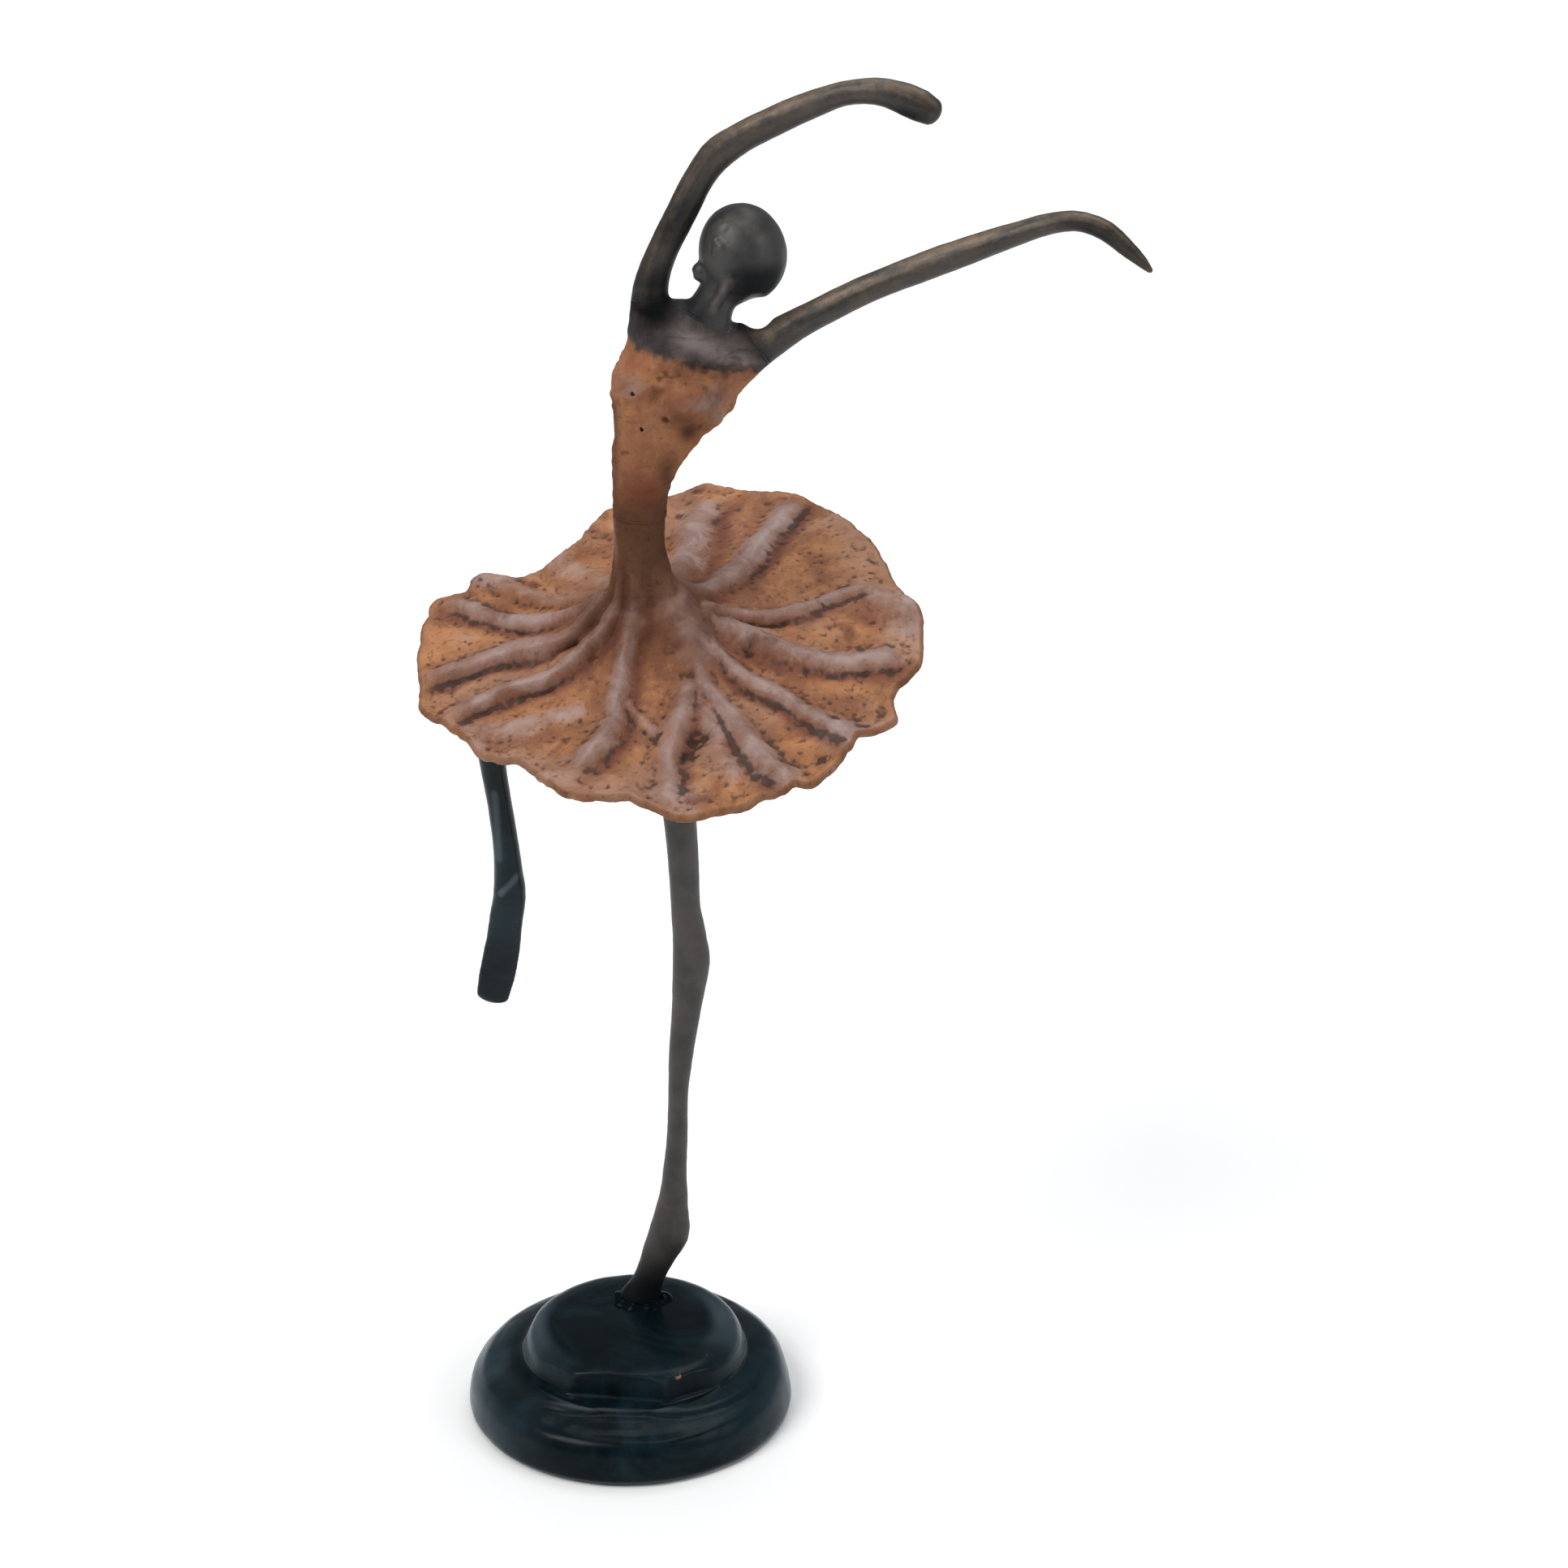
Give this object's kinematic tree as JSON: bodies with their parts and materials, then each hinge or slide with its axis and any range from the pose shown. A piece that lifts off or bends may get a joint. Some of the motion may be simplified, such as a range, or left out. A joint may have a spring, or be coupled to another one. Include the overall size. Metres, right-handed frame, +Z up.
{
  "type": "dancer statuette",
  "caption": "Slender cast bronze dancer in a wavy tutu, balanced on one toe on a round stepped base; a display ornament.",
  "frame": {"origin": "centre of the base's underside, on the face it rests on", "axes": "+Z up through the standing figure; +X towards the extended arm; the chest faces -Y"},
  "size_m": [0.2258, 0.165, 0.4597],
  "materials": {
    "dark_bronze": "dark brown patina, worn golden on edges",
    "rust_bronze": "rust-brown patina, satin",
    "skirt_bronze": "mottled copper-brown patina with mauve-grey worn crests",
    "black_bronze": "blue-black patina, polished",
    "braze": "ground flush and patinated",
    "felt": "green felt"
  },
  "bodies": {
    "root": {"base_casting": "black_bronze", "base_felt_pad": "felt", "foot_braze_bead": "black_bronze", "standing_leg": "dark_bronze", "raised_leg": "black_bronze", "pelvis_block": "dark_bronze", "tutu_skirt": "skirt_bronze", "bodice_torso": "rust_bronze", "raised_arm": "dark_bronze", "extended_arm": "dark_bronze", "head_and_neck": "dark_bronze", "waist_braze_ring": "braze", "pelvis_braze_ring": "braze", "standing_hip_braze_ring": "braze", "raised_hip_braze_ring": "braze", "raised_shoulder_braze_ring": "braze", "extended_shoulder_braze_ring": "braze", "neck_braze_ring": "braze"}
  },
  "joints": []
}
